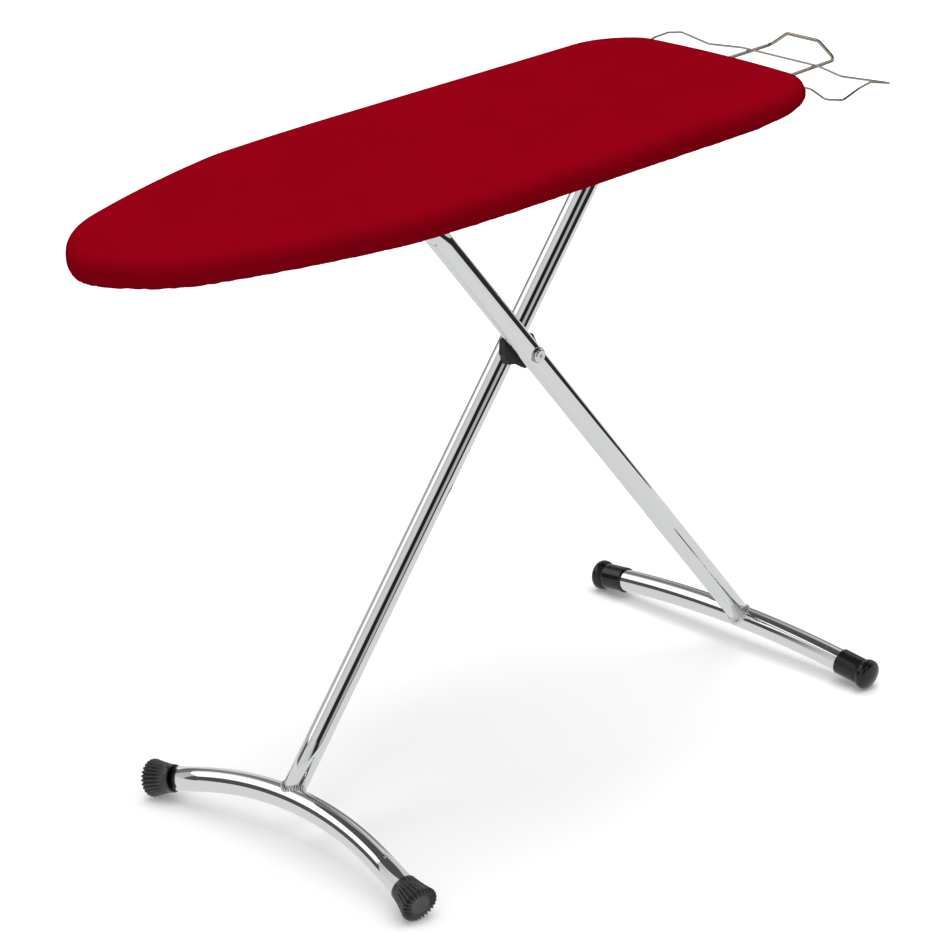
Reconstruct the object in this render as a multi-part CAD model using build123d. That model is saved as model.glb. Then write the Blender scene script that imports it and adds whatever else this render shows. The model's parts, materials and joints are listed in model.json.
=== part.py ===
"""Folding ironing board on crossed tube legs, with a slide-out wire iron rest.

Units are millimetres.  +X runs from the nose to the iron rest, +Z is up and the
floor is z = 0.  The origin is on the floor, under the middle of the overall box.
Soft parts (cover, felt, hem elastic) are plain solids of the true outer size.
"""
from build123d import *
import os
from math import atan2, cos, degrees, radians, sin, tan

# ---------------------------------------------------------------- board top
BOARD_HEIGHT = 870.0
BOARD_DEPTH = 38.0            # rounded edge, from the cover's top to its hem
NOSE_X = -644.0
# Half outline from the nose tip: arcs of (radius, turn in degrees), turning inwards.
NOSE_ARCS = [(51.0, 26.5), (179.0, 44.0), (1595.0, 8.6), (295.0, 7.4), (3177.0, 3.4)]
SIDE_LENGTH = 451.9           # straight side, between the long arc and the corner
TAIL_ARCS = [(120.0, 50.0), (45.0, 34.0)]

COVER_THICKNESS = 2.0
COVER_TOP_ROUND = 18.0
COVER_HEM_ROUND = 15.0
HEM_WIDTH = 62.0              # fabric gathered back under the rim
FELT_TOP = 6.0
FELT_SIDE = 3.0
FELT_SKIRT_Z = 846.0
MESH_THICKNESS = 1.5
FRAME_TUBE_RADIUS = 12.0
FRAME_WALL = 1.2
FRAME_GAP = 0.3               # felt to frame tube
ELASTIC_WIDTH = 4.0

MESH_HOLE_RADIUS = 9.0
MESH_PITCH = 40.0
MESH_MARGIN = 34.0            # plain border inside the frame tube's centre line

# ------------------------------------------------------------------- legs
LEG_RADIUS = 15.0
LEG_WALL = 1.5
LEG_OFFSET = 18.8             # each leg's centre line, either side of the middle
WELD_BEAD = 2.6
FOOT_RADIUS = 16.0
PIVOT = (76.5, 562.0)         # x, z of the bolt where the legs cross
PIVOT_SHANK_R = 4.0
PIVOT_NUT_R = 5.0
PIVOT_BUSH_R = 6.0
PIVOT_PAD_R = 10.5
BOLT_HEAD_R = 9.4
BOLT_HEAD_LOW = 1.3           # the head's back and top, proud of the leg tube
BOLT_HEAD_TOP = 4.6
BOLT_HEAD_ROUND = 2.6
BOLT_SOCKET_R = 3.0
BOLT_SOCKET_DEPTH = 2.2
# Half outline of the saddle between the legs, from the pivot; the other half mirrors it.
SADDLE_OUTLINE = [(9.0, -29.0), (-8.0, -18.0), (-23.0, -15.0), (-31.0, 0.0), (-30.0, 18.0)]
TOP_AXIS_Z = 822.0            # hinge of one leg and sliding bar of the other

FRONT_MOUTH_X = -351.0        # mouths of the front caps
FRONT_ARCH_R = 523.0
FRONT_ARCH_ANGLE = 17.7
FRONT_ARCH_TILT = 38.7        # the arch leans in towards the pivot
FRONT_STRAIGHT = 50.0         # straight tube between the arch and each cap's mouth
FRONT_CAP_LENGTH = 39.0
FRONT_CAP_MOUTH_R = 18.3
FRONT_CAP_CORNER = 4.8        # rounding between the widest ring and the flat end
FRONT_CAP_END_R = 20.2
FRONT_CAP_FLARE = [(1.1, 0.36), (4.0, 0.74)]     # (swelling past the mouth, share of the height)
RIB_COUNT = 26
RIB_WIDTH = 3.4
RIB_HEIGHT = 1.9

REAR_MOUTH_X = 525.0
REAR_ARCH_R = 1679.0
REAR_ARCH_ANGLE = 6.74
REAR_STRAIGHT = 0.0
REAR_SLEEVE_R = 18.4
REAR_SLEEVE_LENGTH = 36.0
REAR_DOME_START = 46.0        # from the mouth
REAR_DOME_R = 21.5
REAR_DOME_CORNER = 7.0        # tight rounding, up to this angle, before the flat dome
REAR_DOME_TURN = 65.0
CAP_END_WALL = 8.0            # rubber between the tube's end and the thick end of a cap

CROSS_RADIUS = 11.0           # cross tubes at the tops of the legs
CROSS_WALL = 1.5
FRONT_CROSS_HALF = 42.0
REAR_CROSS_HALF = 42.0
HINGE_ROD_R = 5.0
HINGE_EAR_R = 17.0
RUNNING_GAP = 0.05

# ------------------------------------------------------ rails under the deck
RAIL_Y = 46.0                 # inner face of each rail's web
RAIL_STEEL = 2.0
RAIL_BOTTOM_Z = 806.0
RAIL_TOP_Z = 854.0
RAIL_FLANGE = 16.0
RAIL_LIP = 6.0
RAIL_FROM_X = -420.0
RAIL_TO_X = -95.0
SLOT_HALF = 8.0
SLOT_FROM_X = -404.0
SLOT_TO_X = -136.0
SLIDE_SLEEVE_R = 6.0
SLIDE_PIN_R = 4.0
NOTCH_PITCH = 44.0
NOTCH_COUNT = 6
NOTCH_HALF = 6.5
NOTCH_DEPTH = 6.0
BRACE_X = (-530.0, -400.0, -110.0, 100.0, 286.0, 400.0)
BRACE_WIDTH = 34.0
BRACE_STEEL = 2.0

# ----------------------------------------------------------- release lever
LEVER_PIN = (-112.0, 841.0)
LEVER_PIN_R = 3.0
LEVER_Y = 39.0
LEVER_STEEL = 3.0
LEVER_ARM_X = -478.0
LEVER_ARM_HALF = 8.0
GRIP_Y = (88.0, 106.0)
GRIP_HALF = 34.0
LEVER_TIP_Z = 835.2           # points of the locking teeth
LEVER_TOP_Z = 845.0
LEVER_ARM_Z = 816.0

# ------------------------------------------------------------------ iron rest
REST_LEG_Y = 56.0
REST_WIRE_R = 2.5
REST_END_X = 642.02
REST_LOW_Z = 828.0
REST_HIGH_Z = 835.0
TRAY_WIRE_R = 1.5
SOCKET_X = (380.0, 407.0)
REST_INNER_X = 313.0

PARTS = {}


def keep(name, shape):
    """Store one named sub-part."""
    PARTS[name] = shape


def group(shapes):
    """Several separate solids that share one node."""
    return Compound(children=list(shapes))


def rod(start, end, radius, inner=0.0):
    """Round bar or tube between two points."""
    start, end = Vector(*start), Vector(*end)
    axis = end - start
    plane = Plane(origin=start, z_dir=axis)
    bar = plane * Cylinder(radius, axis.length, align=(Align.CENTER, Align.CENTER, Align.MIN))
    if inner:
        bar -= plane * Cylinder(inner, axis.length, align=(Align.CENTER, Align.CENTER, Align.MIN))
    return bar


def block(low, high):
    """Box between its lowest and highest corners."""
    size = [b - a for a, b in zip(low, high)]
    middle = [(a + b) / 2 for a, b in zip(low, high)]
    return Pos(*middle) * Box(*size)


def mirror_y(shape):
    return mirror(shape, about=Plane.XZ)


# ================================================================ board top
def half_outline():
    """Edges of the outline on the +Y side, and the x where it meets the tail."""
    x, y, heading = NOSE_X, 0.0, 90.0
    edges = []

    def arc(radius, turn):
        nonlocal x, y, heading
        centre = (x + radius * sin(radians(heading)), y - radius * cos(radians(heading)))

        def at(angle):
            return (centre[0] - radius * sin(radians(angle)), centre[1] + radius * cos(radians(angle)))

        edges.append(ThreePointArc((x, y), at(heading - turn / 2), at(heading - turn)))
        heading -= turn
        x, y = at(heading)

    for radius, turn in NOSE_ARCS:
        arc(radius, turn)
    end = (x + SIDE_LENGTH * cos(radians(heading)), y + SIDE_LENGTH * sin(radians(heading)))
    edges.append(Line((x, y), end))
    x, y = end
    for radius, turn in TAIL_ARCS:
        arc(radius, turn)
    arc(y / cos(radians(heading)), heading + 90.0)
    return edges, x


def board_face(inset=0.0, z=0.0):
    """Flat face of the board's outline, drawn in by inset, at height z."""
    edges, _ = half_outline()
    edges += [mirror_y(edge) for edge in edges]
    face = make_face(edges)
    if inset:
        face = offset(face, amount=-inset, kind=Kind.ARC)
    return (Pos(0, 0, z) * face).faces()[0]


def board_slab(inset, low, high):
    return extrude(board_face(inset, low), amount=high - low, dir=(0, 0, 1))


def rounded_slab(inset, low, high, top_round, low_round=0.0):
    slab = board_slab(inset, low, high)
    slab = fillet(slab.faces().sort_by(Axis.Z)[-1].edges(), top_round)
    if low_round:
        slab = fillet(slab.faces().sort_by(Axis.Z)[0].edges(), low_round)
    return slab


HEM_Z = BOARD_HEIGHT - BOARD_DEPTH
FELT_Z = BOARD_HEIGHT - COVER_THICKNESS
MESH_TOP_Z = FELT_Z - FELT_TOP
MESH_Z = MESH_TOP_Z - MESH_THICKNESS
FRAME_INSET = COVER_THICKNESS + FELT_SIDE + FRAME_GAP + FRAME_TUBE_RADIUS
FRAME_Z = MESH_Z - FRAME_TUBE_RADIUS


def build_cover():
    inner_low = HEM_Z + COVER_THICKNESS
    outer = rounded_slab(0, HEM_Z, BOARD_HEIGHT, COVER_TOP_ROUND, COVER_HEM_ROUND)
    hollow = rounded_slab(COVER_THICKNESS, inner_low, FELT_Z,
                          COVER_TOP_ROUND - COVER_THICKNESS, COVER_HEM_ROUND - COVER_THICKNESS)
    opening = board_slab(HEM_WIDTH, HEM_Z - 1, inner_low + 1)
    keep("cover", outer - hollow - opening)

    felt = rounded_slab(COVER_THICKNESS, inner_low, FELT_Z,
                        COVER_TOP_ROUND - COVER_THICKNESS, COVER_HEM_ROUND - COVER_THICKNESS)
    felt -= rounded_slab(COVER_THICKNESS + FELT_SIDE, HEM_Z, MESH_TOP_Z, FRAME_TUBE_RADIUS)
    felt -= board_slab(-5, HEM_Z - 5, FELT_SKIRT_Z)
    keep("felt_pad", felt)

    band = board_slab(HEM_WIDTH, HEM_Z, inner_low)
    keep("hem_elastic", band - board_slab(HEM_WIDTH + ELASTIC_WIDTH, HEM_Z - 1, inner_low + 1))


def wire_sweep(path, radius, inner=0.0):
    """Round section swept along a smooth path, starting square to it."""
    start = path @ 0
    plane = Plane(origin=start, z_dir=path % 0)
    section = plane * Circle(radius)
    if inner:
        section -= plane * Circle(inner)
    return sweep(section, path=path)


def mesh_hole_centres(face):
    """Hexagonal grid points that keep the whole hole inside the face."""
    box = face.bounding_box()
    rows = int(box.size.Y / (MESH_PITCH * 0.866)) // 2
    columns = int(box.size.X / MESH_PITCH)
    for row in range(-rows, rows + 1):
        y = row * MESH_PITCH * 0.866
        shift = (row % 2) * MESH_PITCH / 2
        for column in range(columns + 1):
            x = box.min.X + shift + column * MESH_PITCH
            if face.is_inside(Vector(x, y, box.min.Z)):
                yield x, y


def build_deck():
    plate = board_face(FRAME_INSET, MESH_Z)
    inner = board_face(FRAME_INSET + MESH_MARGIN, MESH_Z)
    holes = [Pos(x, y, MESH_Z) * Circle(MESH_HOLE_RADIUS) for x, y in mesh_hole_centres(inner)]
    plate = extrude(plate - holes, amount=MESH_THICKNESS, dir=(0, 0, 1))
    keep("deck_mesh", plate)

    outline = board_face(FRAME_INSET, FRAME_Z).outer_wire()
    spans = [wire_sweep(Wire(edge), FRAME_TUBE_RADIUS, FRAME_TUBE_RADIUS - FRAME_WALL)
             for edge in outline.edges()]
    keep("frame_tube", group(spans))


def build_braces():
    """Pressed cross members between the sides of the frame tube."""
    braces = []
    reach = board_slab(FRAME_INSET + FRAME_TUBE_RADIUS - 1, RAIL_TOP_Z, MESH_Z)
    reach -= [wire_sweep(board_face(FRAME_INSET, FRAME_Z).outer_wire(), FRAME_TUBE_RADIUS)]
    for x in BRACE_X:
        half = BRACE_WIDTH / 2
        hat = block((x - half, -200, RAIL_TOP_Z), (x + half, 200, MESH_Z))
        hat -= block((x - half + BRACE_STEEL, -200, RAIL_TOP_Z + BRACE_STEEL),
                     (x + half - BRACE_STEEL, 200, MESH_Z + 1))
        braces.append(hat & reach)
    keep("cross_braces", group(braces))


# ===================================================================== legs
def arch_point(mid, radius, rise_dir, angle):
    """Point and outward tangent on a foot arch, angle in degrees from its middle."""
    a = radians(angle)
    point = mid + Vector(0, radius * sin(a), 0) - rise_dir * (radius * (1 - cos(a)))
    tangent = Vector(0, cos(a), 0) - rise_dir * sin(a)
    return point, tangent


class Foot:
    """A bent foot tube: an arc in the middle and a straight length at each end."""

    def __init__(self, mouth_x, tilt, radius, angle, straight, in_cap, cap_reach):
        self.rise = Vector(sin(radians(tilt)), 0, cos(radians(tilt)))
        self.radius, self.angle, self.straight, self.in_cap = radius, angle, straight, in_cap
        slope = sin(radians(angle)) * self.rise.Z
        height = radius * (1 - cos(radians(angle))) + straight * sin(radians(angle))
        self.mid = Vector(mouth_x, 0, cap_reach(slope)) + self.rise * height

    def end(self, side):
        """Start of the straight length and its outward direction."""
        return arch_point(self.mid, self.radius, self.rise, side * self.angle)[0], self.direction(side)

    def mouth(self, side):
        """Plane at the mouth of a cap, looking outwards along the tube."""
        start, direction = self.end(side)
        return Plane(origin=start + direction * self.straight, x_dir=(1, 0, 0), z_dir=direction)

    def direction(self, side):
        _, tangent = arch_point(self.mid, self.radius, self.rise, side * self.angle)
        return tangent * side

    def path(self):
        (near, near_dir), (far, far_dir) = self.end(-1), self.end(1)
        length = self.straight + self.in_cap
        return Wire([Line(near + near_dir * length, near),
                     ThreePointArc(near, self.mid, far),
                     Line(far, far + far_dir * length)])


def cap_reach(slope, radius, height, corner):
    """How far a cap hangs below the middle of its mouth; slope is the tube's fall.

    The cap rests on a rounding of radius corner, centred at this radius and height.
    """
    return radius * (1 - slope ** 2) ** 0.5 + height * slope + corner


def front_cap_reach(slope):
    return cap_reach(slope, FRONT_CAP_END_R, FRONT_CAP_LENGTH - FRONT_CAP_CORNER, FRONT_CAP_CORNER)


def rear_cap_reach(slope):
    return cap_reach(slope, REAR_DOME_R - REAR_DOME_CORNER, REAR_DOME_START, REAR_DOME_CORNER)


FRONT_FOOT = Foot(FRONT_MOUTH_X, FRONT_ARCH_TILT, FRONT_ARCH_R, FRONT_ARCH_ANGLE,
                  FRONT_STRAIGHT, FRONT_CAP_LENGTH - CAP_END_WALL, front_cap_reach)
REAR_FOOT = Foot(REAR_MOUTH_X, 0.0, REAR_ARCH_R, REAR_ARCH_ANGLE,
                 REAR_STRAIGHT, REAR_DOME_START - CAP_END_WALL, rear_cap_reach)


def leg_geometry(foot, top_z):
    """Angle above the floor and the top point's x, for a leg through the pivot."""
    angle = atan2(PIVOT[1] - foot.mid.Z, PIVOT[0] - foot.mid.X)
    top_x = PIVOT[0] + (top_z - PIVOT[1]) / tan(angle)
    return angle, top_x


FRONT_ANGLE, HINGE_X = leg_geometry(FRONT_FOOT, TOP_AXIS_Z)
REAR_ANGLE, SLIDE_X = leg_geometry(REAR_FOOT, TOP_AXIS_Z)


def cross_rod(x, from_y, to_y, radius, inner=0.0):
    """Round bar across the board at the height of the leg tops."""
    return rod((x, from_y, TOP_AXIS_Z), (x, to_y, TOP_AXIS_Z), radius, inner)


def cross_tube(x, half):
    return cross_rod(x, -half, half, CROSS_RADIUS, CROSS_RADIUS - CROSS_WALL)


def build_leg(name, foot, top_x, y, inner_hole, outer_hole):
    """Leg tube, foot tube and the weld; the pivot holes face the middle and the outside."""
    foot_tube = wire_sweep(foot.path(), FOOT_RADIUS, FOOT_RADIUS - LEG_WALL)
    foot_bar = wire_sweep(foot.path(), FOOT_RADIUS)
    low = (foot.mid.X, y, foot.mid.Z)
    high = (top_x, y, TOP_AXIS_Z)
    top_bar = cross_rod(top_x, -80, 80, CROSS_RADIUS)
    holes = [rod((PIVOT[0], y, PIVOT[1]), (PIVOT[0], 0, PIVOT[1]), inner_hole),
             rod((PIVOT[0], y, PIVOT[1]), (PIVOT[0], y * 2, PIVOT[1]), outer_hole)]
    tube = rod(low, high, LEG_RADIUS, LEG_RADIUS - LEG_WALL) - foot_bar - top_bar - holes
    tube = tube.solids().sort_by(SortBy.VOLUME)[-1]
    keep(f"{name}_leg_tube", tube)
    keep(f"{name}_foot_tube", foot_tube)

    lift = (Vector(*high) - Vector(*low)).normalized() * (FOOT_RADIUS + 25)
    collar = rod(low, tuple(Vector(*low) + lift), LEG_RADIUS + WELD_BEAD)
    swollen = wire_sweep(foot.path(), FOOT_RADIUS + WELD_BEAD)
    weld = (collar & swollen) - foot_bar - rod(low, high, LEG_RADIUS)
    keep(f"{name}_weld", weld)


def front_cap_solid(shrink):
    """Flared ferrule without ribs, drawn in by shrink, from its mouth (z = 0) to its flat end."""
    mouth = FRONT_CAP_MOUTH_R - shrink
    corner_z = FRONT_CAP_LENGTH - FRONT_CAP_CORNER
    corner = FRONT_CAP_CORNER - shrink
    widest = FRONT_CAP_END_R + corner
    with BuildSketch(Plane.XZ) as profile:
        with BuildLine():
            Line((0, 0), (mouth, 0))
            flare = [(mouth + swell, share * corner_z) for swell, share in FRONT_CAP_FLARE]
            Spline((mouth, 0), *flare, (widest, corner_z), tangents=((0, 1), (0.2, 1)))
            RadiusArc((widest, corner_z), (FRONT_CAP_END_R, corner_z + corner), -corner)
            Line((FRONT_CAP_END_R, corner_z + corner), (0, corner_z + corner))
            Line((0, corner_z + corner), (0, 0))
        make_face()
    return revolve(profile.sketch, Axis.Z)


def ribbed_cap():
    """Flared rubber ferrule whose ribs run on over the rim, the first one at +X."""
    outer = front_cap_solid(0.0)
    core = front_cap_solid(RIB_HEIGHT)
    bar = block((0, -RIB_WIDTH / 2, 8), (40, RIB_WIDTH / 2, 60))
    ribs = [outer & Rot(0, 0, 360 / RIB_COUNT * k) * bar for k in range(RIB_COUNT)]
    body = core + (outer & block((-40, -40, -1), (40, 40, 9))) + ribs
    bore = FRONT_CAP_LENGTH - CAP_END_WALL + 0.1
    return body - Cylinder(FOOT_RADIUS, bore, align=(Align.CENTER, Align.CENTER, Align.MIN))


def domed_cap():
    """Smooth ferrule: a sleeve, a narrow groove, a lip and a flat dome."""
    sleeve = Cylinder(REAR_SLEEVE_R, REAR_SLEEVE_LENGTH, align=(Align.CENTER, Align.CENTER, Align.MIN))
    sleeve = fillet(sleeve.edges().sort_by(Axis.Z)[0], 0.8)
    neck = Pos(0, 0, REAR_SLEEVE_LENGTH - 1) * Cylinder(REAR_SLEEVE_R - 0.8, 5,
                                                       align=(Align.CENTER, Align.CENTER, Align.MIN))
    lip = REAR_SLEEVE_LENGTH + 3
    turn, middle = radians(REAR_DOME_TURN), REAR_DOME_R - REAR_DOME_CORNER
    corner_end = (middle + REAR_DOME_CORNER * cos(turn), REAR_DOME_START + REAR_DOME_CORNER * sin(turn))
    flat_r = corner_end[0] / cos(turn)
    top = corner_end[1] + flat_r * (1 - sin(turn))
    with BuildSketch(Plane.XZ) as profile:
        with BuildLine():
            Polyline((0, lip), (REAR_DOME_R - 1.5, lip), (REAR_DOME_R - 0.3, lip + 3),
                     (REAR_DOME_R, REAR_DOME_START))
            RadiusArc((REAR_DOME_R, REAR_DOME_START), corner_end, -REAR_DOME_CORNER)
            RadiusArc(corner_end, (0, top), -flat_r)
            Line((0, top), (0, lip))
        make_face()
    body = sleeve + neck + revolve(profile.sketch, Axis.Z)
    bore = REAR_DOME_START - CAP_END_WALL + 0.1
    return body - Cylinder(FOOT_RADIUS, bore, align=(Align.CENTER, Align.CENTER, Align.MIN))


def build_feet():
    """Caps on all four foot ends; each ribbed one stands on a rib."""
    ribbed, domed = ribbed_cap(), domed_cap()
    for side, label in ((-1, "near"), (1, "far")):
        mouth = FRONT_FOOT.mouth(side)
        down = degrees(atan2(-mouth.y_dir.Z, -mouth.x_dir.Z))
        keep(f"front_cap_{label}", mouth * Rot(0, 0, down) * ribbed)
        keep(f"rear_cap_{label}", REAR_FOOT.mouth(side) * domed)


def build_hinge():
    """Top of the front leg: cross tube on a fixed rod between two brackets."""
    keep("front_cross_tube", cross_tube(HINGE_X, FRONT_CROSS_HALF))
    bushes = []
    for side in (-1, 1):
        tube_end = side * FRONT_CROSS_HALF
        bush = cross_rod(HINGE_X, tube_end - side * 12, tube_end, CROSS_RADIUS - CROSS_WALL)
        bush += cross_rod(HINGE_X, tube_end, tube_end + side * 2, CROSS_RADIUS)
        bush -= cross_rod(HINGE_X, -90, 90, HINGE_ROD_R + RUNNING_GAP)
        bushes.append(bush)
    keep("hinge_bushes", group(bushes))

    outer = RAIL_Y + RAIL_STEEL
    pin = cross_rod(HINGE_X, -outer, outer, HINGE_ROD_R)
    for side in (-1, 1):
        pin += cross_rod(HINGE_X, side * outer, side * (outer + 3), HINGE_ROD_R + 3)
    keep("hinge_rod", pin)

    ear = block((HINGE_X - HINGE_EAR_R, RAIL_Y, TOP_AXIS_Z), (HINGE_X + HINGE_EAR_R, outer, RAIL_TOP_Z))
    ear += cross_rod(HINGE_X, RAIL_Y, outer, HINGE_EAR_R)
    ear += block((HINGE_X - HINGE_EAR_R, RAIL_Y, RAIL_TOP_Z - RAIL_STEEL),
                 (HINGE_X + HINGE_EAR_R, RAIL_Y + RAIL_FLANGE, RAIL_TOP_Z))
    ear -= cross_rod(HINGE_X, 30, 90, HINGE_ROD_R)
    keep("hinge_bracket_far", ear)
    keep("hinge_bracket_near", mirror_y(ear))


def build_slide():
    """Top of the rear leg: cross tube whose end pins run in the slotted rails."""
    keep("rear_cross_tube", cross_tube(SLIDE_X, REAR_CROSS_HALF))
    pins, sleeves, clips = [], [], []
    clip_y = RAIL_Y + RAIL_STEEL + 2.0
    for side in (-1, 1):
        def along(from_y, to_y, radius, inner=0.0):
            return cross_rod(SLIDE_X, side * from_y, side * to_y, radius, inner)

        pin = along(REAR_CROSS_HALF - 18, REAR_CROSS_HALF, CROSS_RADIUS - CROSS_WALL)
        pin += along(REAR_CROSS_HALF, clip_y + 5, SLIDE_PIN_R)
        pins.append(pin)
        sleeve = along(REAR_CROSS_HALF, clip_y, SLIDE_SLEEVE_R, SLIDE_PIN_R)
        sleeve += along(REAR_CROSS_HALF, REAR_CROSS_HALF + 3, CROSS_RADIUS, SLIDE_PIN_R)
        sleeves.append(sleeve)
        clips.append(along(clip_y, clip_y + 3, CROSS_RADIUS, SLIDE_PIN_R))
    keep("slide_pins", group(pins))
    keep("slide_sleeves", group(sleeves))
    keep("slide_clips", group(clips))


def build_rails():
    """Notched rails: a web with a long slot and a flange screwed to the braces."""
    outer = RAIL_Y + RAIL_STEEL
    rail = block((RAIL_FROM_X, RAIL_Y, RAIL_BOTTOM_Z), (RAIL_TO_X, outer, RAIL_TOP_Z))
    rail += block((RAIL_FROM_X, RAIL_Y, RAIL_TOP_Z - RAIL_STEEL),
                  (RAIL_TO_X, RAIL_Y + RAIL_FLANGE, RAIL_TOP_Z))
    rail += block((RAIL_FROM_X, RAIL_Y, RAIL_BOTTOM_Z - RAIL_STEEL),
                  (RAIL_TO_X, RAIL_Y + RAIL_LIP, RAIL_BOTTOM_Z))
    slot_top = TOP_AXIS_Z + SLOT_HALF
    cuts = [block((SLOT_FROM_X, RAIL_Y - 1, TOP_AXIS_Z - SLOT_HALF), (SLOT_TO_X, outer + 1, slot_top))]
    for k in range(NOTCH_COUNT):
        x = SLIDE_X - k * NOTCH_PITCH
        cuts.append(block((x - NOTCH_HALF, RAIL_Y - 1, slot_top - 1),
                          (x + NOTCH_HALF, outer + 1, slot_top + NOTCH_DEPTH)))
    pin_x, pin_z = LEVER_PIN
    cuts.append(rod((pin_x, RAIL_Y - 1, pin_z), (pin_x, outer + 1, pin_z), LEVER_PIN_R))
    rail -= cuts
    keep("rail_far", rail)
    keep("rail_near", mirror_y(rail))


def build_pivot():
    """Bolt through both legs, with its blind nut, washer, spacer saddle and bush."""
    x, z = PIVOT

    def on_axis(a, b, radius, inner=0.0):
        return rod((x, a, z), (x, b, z), radius, inner)

    near = -LEG_OFFSET - LEG_RADIUS
    far = LEG_OFFSET + LEG_RADIUS
    head_low, head_top = near - BOLT_HEAD_LOW, near - BOLT_HEAD_TOP
    head = fillet(on_axis(head_top, head_low, BOLT_HEAD_R).edges().sort_by(Axis.Y)[0], BOLT_HEAD_ROUND)
    hexagon = extrude(RegularPolygon(BOLT_SOCKET_R, 6), amount=-BOLT_SOCKET_DEPTH)
    socket = Pos(x, head_top, z) * Rot(90, 0, 0) * hexagon
    keep("pivot_bolt", on_axis(head_low, far - 3.6, PIVOT_SHANK_R) + head - socket)
    nut = on_axis(far - 9.0, far + 0.8, PIVOT_NUT_R) - on_axis(far - 9.0, far - 3.5, PIVOT_SHANK_R)
    keep("pivot_nut", nut)

    def leg_bar(foot, top_x, y):
        return rod((foot.mid.X, y, foot.mid.Z), (top_x, y, TOP_AXIS_Z), LEG_RADIUS)

    pad = on_axis(near - 1.0, near + 5, PIVOT_PAD_R, PIVOT_SHANK_R + RUNNING_GAP)
    pad -= leg_bar(REAR_FOOT, SLIDE_X, -LEG_OFFSET)
    keep("pivot_pad_near", pad.solids().sort_by(Axis.Y)[0])

    gap = LEG_OFFSET - LEG_RADIUS
    corners = SADDLE_OUTLINE + [(-dx, -dz) for dx, dz in SADDLE_OUTLINE]
    outline = Polyline(*[(x + dx, -gap + 0.4, z + dz) for dx, dz in corners], close=True)
    saddle = extrude(make_face(outline), amount=gap + 6.0, dir=(0, 1, 0))
    saddle = saddle - leg_bar(FRONT_FOOT, HINGE_X, LEG_OFFSET) - on_axis(-30, 30, PIVOT_SHANK_R)
    keep("pivot_spacer", saddle.solids().sort_by(SortBy.VOLUME)[-1])

    keep("pivot_bush", on_axis(near + 1.6, -gap, PIVOT_BUSH_R, PIVOT_SHANK_R + RUNNING_GAP))


# ============================================================ release lever
def build_lever():
    """Toothed strip over the sliding bar, pivoted at one end, with a side arm and a grip."""
    x, z = LEVER_PIN
    outer_y = LEVER_Y + LEVER_STEEL
    arm_from, arm_to = LEVER_ARM_X - LEVER_ARM_HALF, LEVER_ARM_X + LEVER_ARM_HALF

    def across(from_y, to_y, radius, inner=0.0):
        return rod((x, from_y, z), (x, to_y, z), radius, inner)

    strip = block((arm_from, LEVER_Y, LEVER_TIP_Z), (x, outer_y, LEVER_TOP_Z))
    strip += across(LEVER_Y, outer_y, 7.0)
    for k in range(NOTCH_COUNT + 1):
        notch_x = SLIDE_X - k * NOTCH_PITCH
        strip -= block((notch_x - 14, LEVER_Y - 1, LEVER_TIP_Z - 1),
                       (notch_x + 14, outer_y + 1, LEVER_TIP_Z + 3))
    strip += block((arm_from, LEVER_Y, LEVER_ARM_Z), (arm_to, outer_y, LEVER_TOP_Z))
    strip += block((arm_from, LEVER_Y, LEVER_ARM_Z), (arm_to, GRIP_Y[1] - 2, LEVER_ARM_Z + LEVER_STEEL))
    strip -= across(LEVER_Y - 1, outer_y + 1, LEVER_PIN_R + RUNNING_GAP)
    keep("lever_strip", strip)

    grip = block((LEVER_ARM_X - GRIP_HALF, GRIP_Y[0], LEVER_ARM_Z - 5),
                 (LEVER_ARM_X + GRIP_HALF, GRIP_Y[1], LEVER_ARM_Z + 7))
    grip = fillet(grip.edges().filter_by(Axis.X), 4.5)
    keep("lever_grip", grip - block((arm_from, LEVER_Y, LEVER_ARM_Z),
                                    (arm_to, GRIP_Y[1] - 2, LEVER_ARM_Z + LEVER_STEEL)))

    ear_y = LEVER_Y - 1.5
    ear = block((x - 9, ear_y - 2, z - 9), (x + 9, ear_y, RAIL_TOP_Z))
    ear += block((x - 9, ear_y - 2, RAIL_TOP_Z - 2), (x + 9, RAIL_Y, RAIL_TOP_Z))
    keep("lever_bracket", ear - across(30, 70, LEVER_PIN_R))
    pin = across(ear_y - 2, RAIL_Y + RAIL_STEEL, LEVER_PIN_R)
    pin += across(ear_y - 4, ear_y - 2, LEVER_PIN_R + 2)
    keep("lever_pin", pin)

    turns = [Pos(x, outer_y + 0.9 + 0.75 * k, z) * Rot(90, 0, 0) * Torus(4.2, 0.35) for k in range(4)]
    keep("lever_spring", group(turns))


# ================================================================ iron rest
def rest_half(points, radii, radius):
    """One half of a wire shape on the +Y side, swept along a filleted line."""
    line = FilletPolyline(*points, radius=radii)
    return wire_sweep(Wire(line.edges()), radius)


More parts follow.
